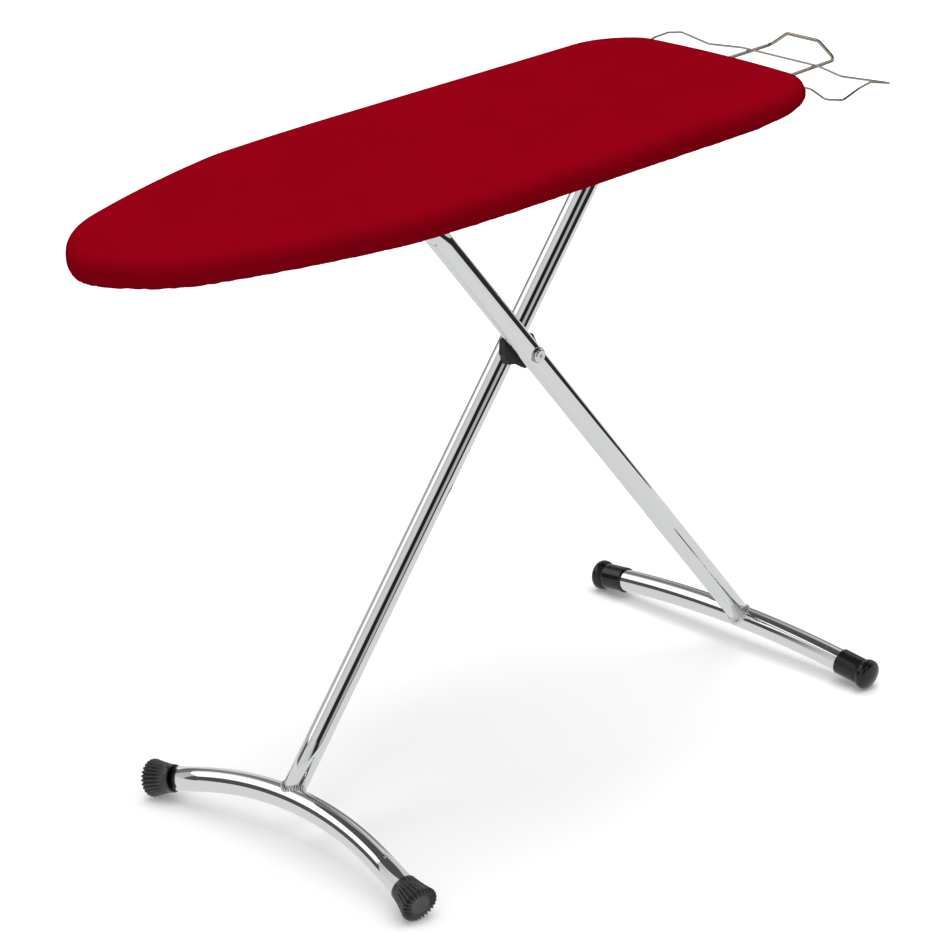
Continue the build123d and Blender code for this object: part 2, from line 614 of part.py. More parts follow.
def build_rest():
    y = REST_LEG_Y
    legs = [(REST_INNER_X, y, REST_LOW_Z), (488, y, REST_LOW_Z), (545, y, REST_HIGH_Z),
            (REST_END_X, y - 1, REST_HIGH_Z + 1), (REST_END_X - 2, y - 29, REST_HIGH_Z + 22),
            (REST_END_X - 2, 0, REST_HIGH_Z + 22)]
    frame = rest_half(legs, [80, 80, 9, 9], REST_WIRE_R)
    keep("rest_frame_wire", frame + mirror_y(frame))

    tray_high = REST_HIGH_Z + REST_WIRE_R + TRAY_WIRE_R + 0.6
    tray = [(592, 0, tray_high), (592, 65, tray_high), (580, 114, tray_high - 2), (600, 180, tray_high - 2),
            (564, 174, tray_high + 6), (538, 176, tray_high + 4), (503, 176, tray_high - 5),
            (490, 158, tray_high - 5), (512, 116, tray_high - 4), (510, 66, tray_high - 4),
            (510, 0, tray_high - 4)]
    ring = rest_half(tray, [22, 22, 3, 8, 20, 8, 12, 20, 20], TRAY_WIRE_R)
    keep("rest_tray_wire", ring + mirror_y(ring))

    spots = []
    for x, level, start, end in ((592, tray_high, legs[2], legs[3]), (510, tray_high - 4, legs[1], legs[2])):
        spot = Pos(x, y, level - TRAY_WIRE_R) * Sphere(1.9) - rod(start, end, REST_WIRE_R)
        spot -= rod((x, y - 6, level), (x, y + 6, level), TRAY_WIRE_R)
        spots += [spot, mirror_y(spot)]
    keep("rest_welds", group(spots))

    low, high = SOCKET_X
    sockets, stops = [], []
    for side in (-1, 1):
        centre = side * y
        socket = rod((low, centre, REST_LOW_Z), (high, centre, REST_LOW_Z), 6.0)
        socket += block((low, centre - 1.5, REST_LOW_Z), (high, centre + 1.5, RAIL_TOP_Z))
        socket += block((low, centre - 9, RAIL_TOP_Z - 2), (high, centre + 9, RAIL_TOP_Z))
        socket -= rod((low - 1, centre, REST_LOW_Z), (high + 1, centre, REST_LOW_Z), REST_WIRE_R + 0.1)
        sockets.append(socket)
        stops.append(rod((REST_INNER_X, centre, REST_LOW_Z), (REST_INNER_X + 5, centre, REST_LOW_Z),
                         5.0, REST_WIRE_R))
    keep("rest_sockets", group(sockets))
    keep("rest_stops", group(stops))


def build_rivets():
    """Domed rivets that hold the rails and hinge brackets to the braces."""
    low = RAIL_TOP_Z - RAIL_STEEL
    y = RAIL_Y + RAIL_FLANGE - 7
    rivet = Sphere(4.0) & block((-5, -5, -1.6), (5, 5, 0))
    spots = [(x + shift, side * y)
             for x in (BRACE_X[1], BRACE_X[2], HINGE_X) for shift in (-9, 9) for side in (-1, 1)]
    keep("rivets", group([Pos(x, y, low) * rivet for x, y in spots]))


build_cover()
build_deck()
build_braces()
build_leg("front", FRONT_FOOT, HINGE_X, LEG_OFFSET, PIVOT_SHANK_R, PIVOT_NUT_R)
build_leg("rear", REAR_FOOT, SLIDE_X, -LEG_OFFSET, PIVOT_BUSH_R, PIVOT_BUSH_R)
build_feet()
build_hinge()
build_slide()
build_rails()
build_pivot()
build_lever()
build_rest()
build_rivets()

os.makedirs("parts", exist_ok=True)
for node, shape in PARTS.items():
    export_step(shape, f"parts/{node}.step")
print("legs", round(degrees(FRONT_ANGLE), 2), round(degrees(REAR_ANGLE), 2),
      "hinge", round(HINGE_X, 2), "slide", round(SLIDE_X, 2), "tail", round(half_outline()[1], 2))
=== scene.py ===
"""Looks of a folding ironing board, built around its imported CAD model.

Lengths are metres, in the CAD model's own frame: +X from the nose to the iron rest, +Z up.
"""

import json
import math

import bmesh
import bpy
from mathutils import Matrix, Vector, noise


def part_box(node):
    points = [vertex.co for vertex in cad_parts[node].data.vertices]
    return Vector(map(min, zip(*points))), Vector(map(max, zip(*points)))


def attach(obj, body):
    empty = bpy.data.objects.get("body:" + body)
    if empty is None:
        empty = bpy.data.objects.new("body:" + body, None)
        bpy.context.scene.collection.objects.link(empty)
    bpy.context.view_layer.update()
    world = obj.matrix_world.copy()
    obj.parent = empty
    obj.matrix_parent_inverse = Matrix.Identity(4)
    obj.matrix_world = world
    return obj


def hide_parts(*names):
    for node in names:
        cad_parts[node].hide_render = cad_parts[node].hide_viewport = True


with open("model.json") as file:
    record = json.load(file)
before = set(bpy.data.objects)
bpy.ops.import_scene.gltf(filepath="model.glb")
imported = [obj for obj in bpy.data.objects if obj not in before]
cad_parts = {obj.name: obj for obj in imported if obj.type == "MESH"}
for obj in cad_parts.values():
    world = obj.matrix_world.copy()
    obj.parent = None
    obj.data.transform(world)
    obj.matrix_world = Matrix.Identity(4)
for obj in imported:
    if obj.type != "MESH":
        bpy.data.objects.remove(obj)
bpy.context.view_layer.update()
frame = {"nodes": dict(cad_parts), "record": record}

# ------------------------------------------------------------ driving sizes
TOP_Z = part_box("cover")[1][2]
HEM_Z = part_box("cover")[0][2]
NOSE_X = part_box("cover")[0][0]
NOSE_ARCS = [(0.051, 26.5), (0.179, 44.0), (1.595, 8.6), (0.295, 7.4), (3.177, 3.4)]
SIDE_LENGTH = 0.4519
TAIL_ARCS = [(0.120, 50.0), (0.045, 34.0)]
TOP_ROUND = 0.018
LOW_ROUND = 0.015
HEM_WIDTH = 0.062
HEM_SLACK = 0.8                        # widest hem on a bend, as a share of the bend's radius
COVER_CLOTH = 0.0012
FELT_THICKNESS = 0.0055
FELT_SKIRT_Z = 0.846
HEM_CORD_R = 0.0016
SKIRT_STEPS = 18                       # frames of the cloth run that gathers the skirt
FRAME_INSET = 0.0173
FRAME_RADIUS = 0.0105
FRAME_Z = 0.850
EDGE_LIFT = 0.008                     # how far the lower edge is drawn up round the tail's corners
LIFT_BEND = 0.12                      # bends of this radius and tighter are lifted in full
GRIP_ROOM = 0.012                     # the gathers are kept up this far round the release grip

LEG_RADIUS = 0.015
LEG_OFFSET = 0.0188
FOOT_RADIUS = 0.016
LEG_TOP_GAP = 0.0105                   # from a leg's end to the middle of its cross tube
WELD_BEAD = 0.0023
WELD_POINTS = 220                      # round one bead
WELD_RIPPLES = 34
PIVOT = Vector((0.0765, 0, 0.562))
TOP_AXIS_Z = 0.822
CAP_LENGTH = 0.039                     # front caps, from the mouth to the flat end
CAP_MOUTH_R = 0.0183
CAP_CORNER = 0.0048
CAP_END_R = 0.0202
CAP_END_WALL = 0.008
RIBS = 26
RIB_HEIGHT = 0.0026
SLEEVE_R = 0.0184                      # rear caps
SLEEVE_LENGTH = 0.036
DOME_START = 0.046
DOME_R = 0.0215
DOME_CORNER = 0.007
DOME_TURN = 65.0

REST_LEG_Y = 0.056
REST_WIRE_R = 0.0025
REST_LOW_Z = 0.828
REST_HIGH_Z = 0.835
REST_END_X = 0.64202
REST_INNER_X = 0.313
TRAY_WIRE_R = 0.0015
TRAY_HIGH = REST_HIGH_Z + REST_WIRE_R + TRAY_WIRE_R + 0.0006


# ================================================================ geometry
def arc_points(centre, radius, start, turn, step):
    """Points, outward normals and the radius along an arc; start and turn are headings in degrees."""
    count = max(3, round(abs(radius * math.radians(turn)) / step))
    for k in range(count):
        a = math.radians(start - turn * k / count)
        normal = Vector((-math.sin(a), math.cos(a), 0))
        yield centre + radius * normal, normal, radius


def board_outline(step=0.004):
    """Evenly spaced (point, outward normal, bend radius) round the board, from the nose tip."""
    place, heading = Vector((NOSE_X, 0, 0)), 90.0
    half = []

    def arc(radius, turn):
        nonlocal place, heading
        a = math.radians(heading)
        centre = place + radius * Vector((math.sin(a), -math.cos(a), 0))
        half.extend(arc_points(centre, radius, heading, turn, step))
        heading -= turn
        b = math.radians(heading)
        place = centre + radius * Vector((-math.sin(b), math.cos(b), 0))

    for radius, turn in NOSE_ARCS:
        arc(radius, turn)
    a = math.radians(heading)
    along = Vector((math.cos(a), math.sin(a), 0))
    count = round(SIDE_LENGTH / step)
    for k in range(count):
        half.append((place + along * SIDE_LENGTH * k / count, Vector((-along.y, along.x, 0)), 10.0))
    place = place + along * SIDE_LENGTH
    for radius, turn in TAIL_ARCS:
        arc(radius, turn)
    arc(place.y / math.cos(math.radians(heading)), heading + 90.0)
    half.append((place.copy(), Vector((1, 0, 0)), half[-1][2]))
    mirrored = [(Vector((p.x, -p.y, 0)), Vector((n.x, -n.y, 0)), r) for p, n, r in half[-2:0:-1]]
    return half + mirrored


def mesh_object(name, verts, faces, smooth=True):
    mesh = bpy.data.meshes.new(name)
    mesh.from_pydata([tuple(v) for v in verts], [], faces)
    mesh.update()
    if smooth:
        mesh.polygons.foreach_set("use_smooth", [True] * len(mesh.polygons))
    obj = bpy.data.objects.new(name, mesh)
    bpy.context.scene.collection.objects.link(obj)
    return obj


def ring_faces(rings, count, closed_rings=False):
    """Quads between successive rings of count points each."""
    faces = []
    last = rings if closed_rings else rings - 1
    for r in range(last):
        a, b = r * count, ((r + 1) % rings) * count
        faces += [(a + k, a + (k + 1) % count, b + (k + 1) % count, b + k) for k in range(count)]
    return faces


def tube(name, path, radius, sides=48, closed=False, swell=None):
    """Round bar along a path; swell(k, angle) scales the radius at one vertex."""
    count = len(path)
    verts, side = [], None
    for k, point in enumerate(path):
        before = path[k - 1] if k or closed else path[k]
        after = path[(k + 1) % count] if k < count - 1 or closed else path[k]
        along = (after - before).normalized()
        if side is None:
            side = along.orthogonal().normalized()
        side = (side - along * side.dot(along)).normalized()
        other = along.cross(side)
        for s in range(sides):
            a = 2 * math.pi * s / sides
            r = radius * (swell(k, a) if swell else 1.0)
            verts.append(point + r * (math.cos(a) * side + math.sin(a) * other))
    faces = ring_faces(count, sides, closed)
    if not closed:
        faces.append(tuple(range(sides - 1, -1, -1)))
        faces.append(tuple(range((count - 1) * sides, count * sides)))
    return mesh_object(name, verts, faces)


def lathe(name, profile, start, along, sides=96, valley=None, ribs=0):
    """Turned piece: profile is (radius, height) pairs up the axis; ribs fall back to valley between them."""
    along = along.normalized()
    side = along.cross(Vector((0, 0, 1))).normalized()
    other = along.cross(side)
    verts = []
    for (radius, height), (low_radius, low_height) in zip(profile, valley or profile):
        for s in range(sides):
            a = 2 * math.pi * s / sides
            sink = (0.5 - 0.5 * math.cos(ribs * a)) ** 1.6
            r = radius + (low_radius - radius) * sink
            h = height + (low_height - height) * sink
            verts.append(start + along * h + r * (math.cos(a) * side + math.sin(a) * other))
    faces = ring_faces(len(profile), sides)
    faces.append(tuple(range(sides - 1, -1, -1)))
    faces.append(tuple(range((len(profile) - 1) * sides, len(profile) * sides)))
    obj = mesh_object(name, verts, faces)
    fix_normals(obj)
    return obj


def fix_normals(obj):
    bm = bmesh.new()
    bm.from_mesh(obj.data)
    bmesh.ops.recalc_face_normals(bm, faces=bm.faces)
    bm.to_mesh(obj.data)
    bm.free()


def weld_spine(obj):
    """Joins the two halves of a top whose rings close up along the middle."""
    bm = bmesh.new()
    bm.from_mesh(obj.data)
    bmesh.ops.remove_doubles(bm, verts=bm.verts, dist=1e-5)
    bmesh.ops.recalc_face_normals(bm, faces=bm.faces)
    bm.to_mesh(obj.data)
    bm.free()


def rounded_path(points, radii, step=0.002):
    """Straight runs joined by arcs of the given radii, one radius for each inner point."""
    points = [Vector(p) for p in points]
    path = [points[0]]
    for before, corner, after, radius in zip(points, points[1:], points[2:], radii):
        back, ahead = (before - corner).normalized(), (after - corner).normalized()
        half = back.angle(ahead) / 2
        reach = radius / math.tan(half)
        centre = corner + (back + ahead).normalized() * radius / math.sin(half)
        first, last = corner + back * reach, corner + ahead * reach
        turn = math.pi - 2 * half
        count = max(2, round(radius * turn / step))
        axis = (first - centre).cross(last - centre).normalized()
        for k in range(count + 1):
            path.append(centre + Matrix.Rotation(turn * k / count, 3, axis) @ (first - centre))
    path.append(points[-1])
    return even_path(path, step * 2)


def even_path(path, step):
    """Splits long straight stretches so that no run is longer than step allows."""
    dense = [path[0]]
    for a, b in zip(path, path[1:]):
        count = max(1, math.ceil((b - a).length / (step * 6)))
        dense += [a.lerp(b, k / count) for k in range(1, count + 1)]
    return dense


# =============================================================== materials
class Graph:
    """Short ways to add nodes to a material's or world's node tree."""

    def __init__(self, tree, coords):
        self.nodes, self.links = tree.nodes, tree.links
        self.coords = self.nodes.new("ShaderNodeTexCoord").outputs[coords]

    def node(self, kind, **inputs):
        node = self.nodes.new(kind)
        for socket, value in inputs.items():
            self.plug(node, socket.replace("_", " "), value)
        return node

    def plug(self, node, socket, value):
        if isinstance(value, bpy.types.NodeSocket):
            self.links.new(value, node.inputs[socket])
        else:
            node.inputs[socket].default_value = value

    def noise(self, scale, detail=2.0, roughness=0.5):
        node = self.node("ShaderNodeTexNoise", Vector=self.coords, Scale=scale,
                         Detail=detail, Roughness=roughness)
        return node.outputs["Fac"]

    def ramp(self, value, *stops):
        """Colour ramp through (place, colour) stops; a number stands for a grey."""
        node = self.node("ShaderNodeValToRGB", Fac=value)
        elements = node.color_ramp.elements
        while len(elements) < len(stops):
            elements.new(0.5)
        for element, (place, colour) in zip(elements, stops):
            element.position = place
            element.color = (colour,) * 3 + (1,) if isinstance(colour, float) else (*colour, 1)
        return node.outputs["Color"]

    def math(self, operation, a, b=0.0, c=0.0):
        node = self.nodes.new("ShaderNodeMath")
        node.operation = operation
        for index, value in enumerate((a, b, c)):
            self.plug(node, index, value)
        return node.outputs["Value"]


class Shader(Graph):
    """A node material with its Principled shader."""

    def __init__(self, name, **sockets):
        self.material = bpy.data.materials.new(name)
        self.material.use_nodes = True
        super().__init__(self.material.node_tree, "Object")
        self.bsdf = self.nodes["Principled BSDF"]
        for socket, value in sockets.items():
            self.bsdf.inputs[socket.replace("_", " ")].default_value = value

    def bump(self, height, distance, strength=1.0):
        node = self.node("ShaderNodeBump", Height=height, Distance=distance, Strength=strength)
        if self.bsdf.inputs["Normal"].is_linked:
            self.links.new(self.bsdf.inputs["Normal"].links[0].from_socket, node.inputs["Normal"])
        self.links.new(node.outputs["Normal"], self.bsdf.inputs["Normal"])

    def drive(self, socket, value):
        self.links.new(value, self.bsdf.inputs[socket])


def weave(shader, pitch, distance):
    """Bump of crossed threads, pitch metres apart."""
    threads = []
    for index in range(2):
        wave = shader.node("ShaderNodeTexWave", Vector=shader.coords, Scale=math.pi / 10 / pitch,
                           Distortion=0.6, Detail=1.0)
        wave.bands_direction = "XY"[index]
        threads.append(wave.outputs["Fac"])
    crossed = shader.math("MAXIMUM", threads[0], threads[1])
    shader.bump(crossed, distance, 0.5)
    return crossed


def cotton_material():
    shader = Shader("red_cotton", Roughness=0.9, Specular_IOR_Level=0.0)
    mottle = shader.noise(9.0, 5.0, 0.6)
    fibre = shader.noise(900.0, 3.0, 0.7)
    mixed = shader.math("MULTIPLY_ADD", fibre, 0.35, mottle)
    shader.drive("Base Color", shader.ramp(mixed, (0.40, (0.188, 0.0004, 0.0048)),
                                           (0.95, (0.212, 0.0005, 0.0060))))
    weave(shader, 0.0009, 0.00008)
    shader.bump(shader.noise(60.0, 3.0), 0.0003, 0.2)
    return shader.material


def felt_material():
    shader = Shader("grey_felt", Roughness=0.95, Sheen_Weight=0.3)
    fibre = shader.noise(700.0, 6.0, 0.75)
    shader.drive("Base Color", shader.ramp(fibre, (0.3, (0.24, 0.23, 0.21)), (0.7, (0.52, 0.51, 0.48))))
    shader.bump(shader.noise(450.0, 5.0, 0.7), 0.0008, 0.6)
    return shader.material


def elastic_material():
    shader = Shader("white_elastic", Roughness=0.8, Sheen_Weight=0.2)
    fibre = shader.noise(1200.0, 2.0)
    shader.drive("Base Color", shader.ramp(fibre, (0.3, (0.55, 0.54, 0.51)), (0.7, (0.78, 0.77, 0.74))))
    weave(shader, 0.0012, 0.0002)
    return shader.material


def chrome_material(name, tint, blur):
    """Polished plating with faint wiping marks."""
    shader = Shader(name, Metallic=1.0, Base_Color=(*tint, 1))
    wipe = shader.noise(40.0, 6.0, 0.65)
    shader.drive("Roughness", shader.ramp(wipe, (0.35, blur), (0.75, blur * 2.0)))
    shader.bump(shader.noise(14.0, 2.0), 0.00004, 0.1)
    return shader.material


def zinc_material():
    """Dull zinc plate with a fine grain."""
    shader = Shader("zinc_plate", Metallic=1.0)
    spangle = shader.noise(260.0, 4.0, 0.6)
    shader.drive("Base Color", shader.ramp(spangle, (0.35, (0.42, 0.43, 0.45)), (0.7, (0.62, 0.63, 0.64))))
    shader.drive("Roughness", shader.ramp(shader.noise(90.0, 4.0), (0.3, 0.28), (0.75, 0.5)))
    shader.bump(shader.noise(800.0, 2.0), 0.00005, 0.4)
    return shader.material


def enamel_material():
    shader = Shader("grey_enamel", Roughness=0.4, Coat_Weight=0.2, Coat_Roughness=0.15)
    cloud = shader.noise(30.0, 3.0)
    shader.drive("Base Color", shader.ramp(cloud, (0.35, (0.24, 0.25, 0.26)), (0.7, (0.30, 0.31, 0.32))))
    shader.bump(shader.noise(500.0, 2.0), 0.0001, 0.35)
    return shader.material


def rubber_material():
    shader = Shader("black_rubber", Specular_IOR_Level=0.85)
    dust = shader.noise(180.0, 5.0, 0.7)
    shader.drive("Base Color", shader.ramp(dust, (0.35, (0.006, 0.006, 0.006)), (0.8, (0.022, 0.022, 0.021))))
    shader.drive("Roughness", shader.ramp(shader.noise(70.0, 4.0), (0.3, 0.24), (0.75, 0.40)))
    shader.bump(shader.noise(1400.0, 3.0), 0.00008, 0.5)
    return shader.material


def gloss_material():
    shader = Shader("black_gloss", Specular_IOR_Level=0.5)
    faint = shader.noise(35.0, 3.0)
    shader.drive("Base Color", shader.ramp(faint, (0.3, (0.004, 0.004, 0.004)), (0.8, (0.009, 0.009, 0.009))))
    shader.drive("Roughness", shader.ramp(shader.noise(60.0, 4.0), (0.3, 0.12), (0.8, 0.24)))
    shader.bump(shader.noise(90.0, 2.0), 0.0002, 0.12)
    return shader.material


def plastic_material():
    shader = Shader("black_plastic", Specular_IOR_Level=0.4)
    grain = shader.noise(900.0, 2.0)
    shader.drive("Base Color", shader.ramp(shader.noise(50.0), (0.3, (0.010, 0.010, 0.011)),
                                           (0.7, (0.020, 0.020, 0.021))))
    shader.drive("Roughness", shader.ramp(grain, (0.3, 0.42), (0.7, 0.6)))
    shader.bump(grain, 0.0001, 0.5)
    return shader.material


def weld_material():
    shader = Shader("weld_metal", Metallic=1.0)
    heat = shader.noise(120.0, 4.0)
    shader.drive("Base Color", shader.ramp(heat, (0.3, (0.66, 0.66, 0.65)), (0.7, (0.86, 0.87, 0.87))))
    shader.drive("Roughness", shader.ramp(shader.noise(300.0, 3.0), (0.3, 0.06), (0.7, 0.16)))
    shader.bump(shader.noise(700.0, 3.0), 0.0002, 0.5)
    return shader.material


SLOT_MATERIAL = {
    "red_cover": cotton_material(),
    "grey_felt": felt_material(),
    "white_elastic": elastic_material(),
    "grey_enamel": enamel_material(),
    "zinc_steel": zinc_material(),
    "chrome_tube": chrome_material("chrome_tube", (0.86, 0.87, 0.87), 0.02),
    "chrome_wire": chrome_material("chrome_wire", (0.46, 0.41, 0.36), 0.07),
    "black_rubber": rubber_material(),
    "black_gloss": gloss_material(),
    "black_plastic": plastic_material(),
}
WELD_MATERIAL = weld_material()
BOLT_MATERIAL = chrome_material("bolt_chrome", (0.80, 0.81, 0.82), 0.08)


def piece(obj, body, slot, *nodes, material=None):
    """Finishes one Blender piece: gives it its slot's material or the one given, puts it on its body and
    hides the CAD nodes it stands for.
    """
    obj.data.materials.clear()
    obj.data.materials.append(material or SLOT_MATERIAL[slot])
    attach(obj, body)
    if nodes:
        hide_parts(*nodes)
    return obj


# =================================================================== cover
OUTLINE = board_outline()
SPINE = (NOSE_X + 0.060, 0.37)        # the outline's rings close in on this stretch
TOP_SHARES = (1.0, 0.94, 0.86, 0.76, 0.65, 0.54, 0.43, 0.33, 0.24, 0.16, 0.10, 0.05)
ROUND_STEPS = 8
UNDER_STEPS = 12
SKIRT_START = len(TOP_SHARES) + ROUND_STEPS      # index of the ring at the board's widest line


def spine_point(point):
    return Vector((min(max(point.x, SPINE[0]), SPINE[1]), 0, 0))


def top_ring(share, edge_inset, z):
    """Ring on the flat top: share 0 is at edge_inset, 1 is on the spine."""
    ring = []
    for point, normal, _ in OUTLINE:
        rim = point - normal * edge_inset
        flat = rim.lerp(spine_point(point), share)
        ring.append(Vector((flat.x, flat.y, z)))
    return ring


def each(value):
    """One number, or a list with one for each outline point, as a list."""
    return value if isinstance(value, list) else [value] * len(OUTLINE)


def inset_ring(inset, z):
    return [Vector((point.x - normal.x * depth, point.y - normal.y * depth, height))
            for (point, normal, _), depth, height in zip(OUTLINE, each(inset), each(z))]


def smoothed(values, reach=12):
    """Running average round the closed outline."""
    count = len(values)
    return [sum(values[(k + j) % count] for j in range(-reach, reach + 1)) / (2 * reach + 1)
            for k in range(count)]


def hem_insets():
    """Hem width at each outline point: narrower round tight bends, changing gradually."""
    return smoothed([min(HEM_WIDTH, HEM_SLACK * radius) for _, _, radius in OUTLINE])


def edge_heights():
    """Height of the lower edge at each outline point, drawn up round the tail's tight bends."""
    lifts = [EDGE_LIFT * min(1.0, LIFT_BEND / radius) if point.x > 0 else 0.0 for point, _, radius in OUTLINE]
    return smoothed([HEM_Z + lift for lift in lifts])


def rounded_rings(inset, low, high, top_round, low_round, hems):
    """Rings from the middle of the top, over the edge and back under it to the hems."""
    rings = [top_ring(share, inset + top_round, high) for share in TOP_SHARES]
    quarter = [math.pi / 2 * k / ROUND_STEPS for k in range(ROUND_STEPS + 1)]
    for a in quarter:
        rings.append(inset_ring(inset + top_round * (1 - math.sin(a)), high - top_round * (1 - math.cos(a))))
    for a in quarter:
        heights = [z + low_round * (1 - math.sin(a)) for z in each(low)]
        rings.append(inset_ring(inset + low_round * (1 - math.cos(a)), heights))
    edge = inset + low_round
    for k in range(1, UNDER_STEPS + 1):
        rings.append(inset_ring([edge + (hem - edge) * k / UNDER_STEPS for hem in hems], low))
    return rings


def cut_rings(rings):
    """The skirt as it was cut: it hangs straight from the board's widest line."""
    first, drop, hanging = rings[0], 0.0, []
    middle = len(OUTLINE) // 4
    for before, ring in zip([first] + rings, rings):
        drop += (ring[middle] - before[middle]).length
        hanging.append([Vector((v.x, v.y, v.z - drop)) for v in first])
    return hanging


def clear_of_grip(point):
    """Keeps the gathers above the release grip, so that they don't meet when it is squeezed."""
    low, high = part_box("lever_grip")
    beside = any(not low[i] - GRIP_ROOM < point[i] < high[i] + GRIP_ROOM for i in range(2))
    return point if beside else Vector((point.x, point.y, max(point.z, HEM_Z)))


def gather_skirt(rings):
    """Short cloth run in which the spare width of the turned-under skirt buckles into gathers."""
    count = len(OUTLINE)
    verts = [v + Vector((0, 0, 0.0006 * noise.noise(v * 130.0))) for ring in rings for v in ring]
    obj = mesh_object("skirt", verts, ring_faces(len(rings), count))
    obj.shape_key_add(name="gathered")
    cut = obj.shape_key_add(name="cut")
    for point, place in zip(cut.data, [v for ring in cut_rings(rings) for v in ring]):
        point.co = place
    pins = obj.vertex_groups.new(name="pins")
    last = len(rings) - 1
    for k in range(len(rings)):
        hold = max(0.0, min(1.0, 1.6 - 0.2 * k)) ** 2
        if k == last:
            hold = 1.0
        pins.add(list(range(k * count, (k + 1) * count)), hold, "REPLACE")
    cloth = obj.modifiers.new("cloth", "CLOTH")
    cloth.settings.rest_shape_key = cut
    cloth.settings.vertex_group_mass = "pins"
    cloth.settings.quality = 5
    cloth.settings.mass = 0.15
    cloth.settings.air_damping = 3.0
    cloth.settings.tension_stiffness = 25.0
    cloth.settings.compression_stiffness = 25.0
    cloth.settings.shear_stiffness = 8.0
    cloth.settings.bending_stiffness = 0.15
    cloth.settings.effector_weights.gravity = 0.15
    cloth.collision_settings.use_collision = False
    scene = bpy.context.scene
    for step in range(1, SKIRT_STEPS + 1):
        scene.frame_set(step)
    moved = obj.evaluated_get(bpy.context.evaluated_depsgraph_get()).to_mesh()
    settled = [clear_of_grip(obj.matrix_world @ v.co) for v in moved.vertices]
    scene.frame_set(1)
    bpy.data.objects.remove(obj)
    return [settled[k * count:(k + 1) * count] for k in range(len(rings))]


def build_cover():
    """Red cotton pulled tight over the felt and gathered back under the rim."""
    rings = rounded_rings(0, edge_heights(), TOP_Z, TOP_ROUND, LOW_ROUND, hem_insets())
    rings[SKIRT_START:] = gather_skirt(rings[SKIRT_START:])
    verts = [v for ring in rings for v in ring]
    obj = mesh_object("cover_cloth", verts, ring_faces(len(rings), len(OUTLINE)))
    weld_spine(obj)
    skin = obj.modifiers.new("thickness", "SOLIDIFY")
    skin.thickness = COVER_CLOTH
    skin.offset = -1
    return piece(obj, "board", "red_cover", "cover")


def build_felt():
    gap = 0.002
    rings = rounded_rings(gap, FELT_SKIRT_Z, TOP_Z - gap, TOP_ROUND - gap, 0.0001, [0.0051] * len(OUTLINE))
    verts = [v for ring in rings for v in ring]
    obj = mesh_object("felt_layer", verts, ring_faces(len(rings), len(OUTLINE)))
    weld_spine(obj)
    skin = obj.modifiers.new("thickness", "SOLIDIFY")
    skin.thickness = FELT_THICKNESS
    skin.offset = -1
    piece(obj, "board", "grey_felt", "felt_pad")


def build_hem():
    """Elastic cord in the gathered edge of the cover."""
    path = inset_ring([hem + 0.0015 for hem in hem_insets()], [z + 0.001 for z in edge_heights()])
    cord = tube("hem_elastic_cord", path, HEM_CORD_R, 10, closed=True)
    piece(cord, "board", "white_elastic", "hem_elastic")


def build_frame_tube():
    path = inset_ring(FRAME_INSET, FRAME_Z)
    piece(tube("rim_tube", path, FRAME_RADIUS, 32, closed=True), "board", "grey_enamel", "frame_tube")


# ==================================================================== legs
class Foot:
    """A bent foot tube: an arc, then a straight length on into each cap."""

    def __init__(self, mouth_x, tilt, radius, angle, straight, in_cap, cap_reach):
        self.rise = Vector((math.sin(math.radians(tilt)), 0, math.cos(math.radians(tilt))))
        self.radius, self.angle = radius, math.radians(angle)
        self.straight, self.in_cap = straight, in_cap
        slope = math.sin(self.angle) * self.rise.z
        height = radius * (1 - math.cos(self.angle)) + straight * math.sin(self.angle)
        self.mid = Vector((mouth_x, 0, cap_reach(slope))) + self.rise * height

    def at(self, angle):
        return (self.mid + Vector((0, self.radius * math.sin(angle), 0))
                - self.rise * self.radius * (1 - math.cos(angle)))

    def direction(self, side):
        return Vector((0, side * math.cos(self.angle), 0)) - self.rise * math.sin(self.angle)

    def mouth(self, side):
        return self.at(side * self.angle) + self.direction(side) * self.straight

    def path(self, count=80):
        bow = [self.at(self.angle * (2 * k / count - 1)) for k in range(count + 1)]
        start = self.mouth(-1) + self.direction(-1) * self.in_cap
        end = self.mouth(1) + self.direction(1) * self.in_cap
        return [start, *bow, end]


def front_cap_reach(slope):
    """How far a front cap hangs below the middle of its mouth; slope is the tube's fall."""
    return CAP_END_R * math.sqrt(1 - slope ** 2) + (CAP_LENGTH - CAP_CORNER) * slope + CAP_CORNER


def rear_cap_reach(slope):
    return (DOME_R - DOME_CORNER) * math.sqrt(1 - slope ** 2) + DOME_START * slope + DOME_CORNER


FRONT = Foot(-0.351, 38.7, 0.523, 17.7, 0.050, CAP_LENGTH - CAP_END_WALL, front_cap_reach)
REAR = Foot(0.525, 0.0, 1.679, 6.74, 0.0, DOME_START - CAP_END_WALL, rear_cap_reach)


def leg_line(foot, y):
    """Bottom and top of a leg's centre line, through the pivot."""
    low = Vector((foot.mid.x, y, foot.mid.z))
    slope = (PIVOT.z - low.z) / (PIVOT.x - low.x)
    high = Vector((PIVOT.x + (TOP_AXIS_Z - PIVOT.z) / slope, y, TOP_AXIS_Z))
    return low, high


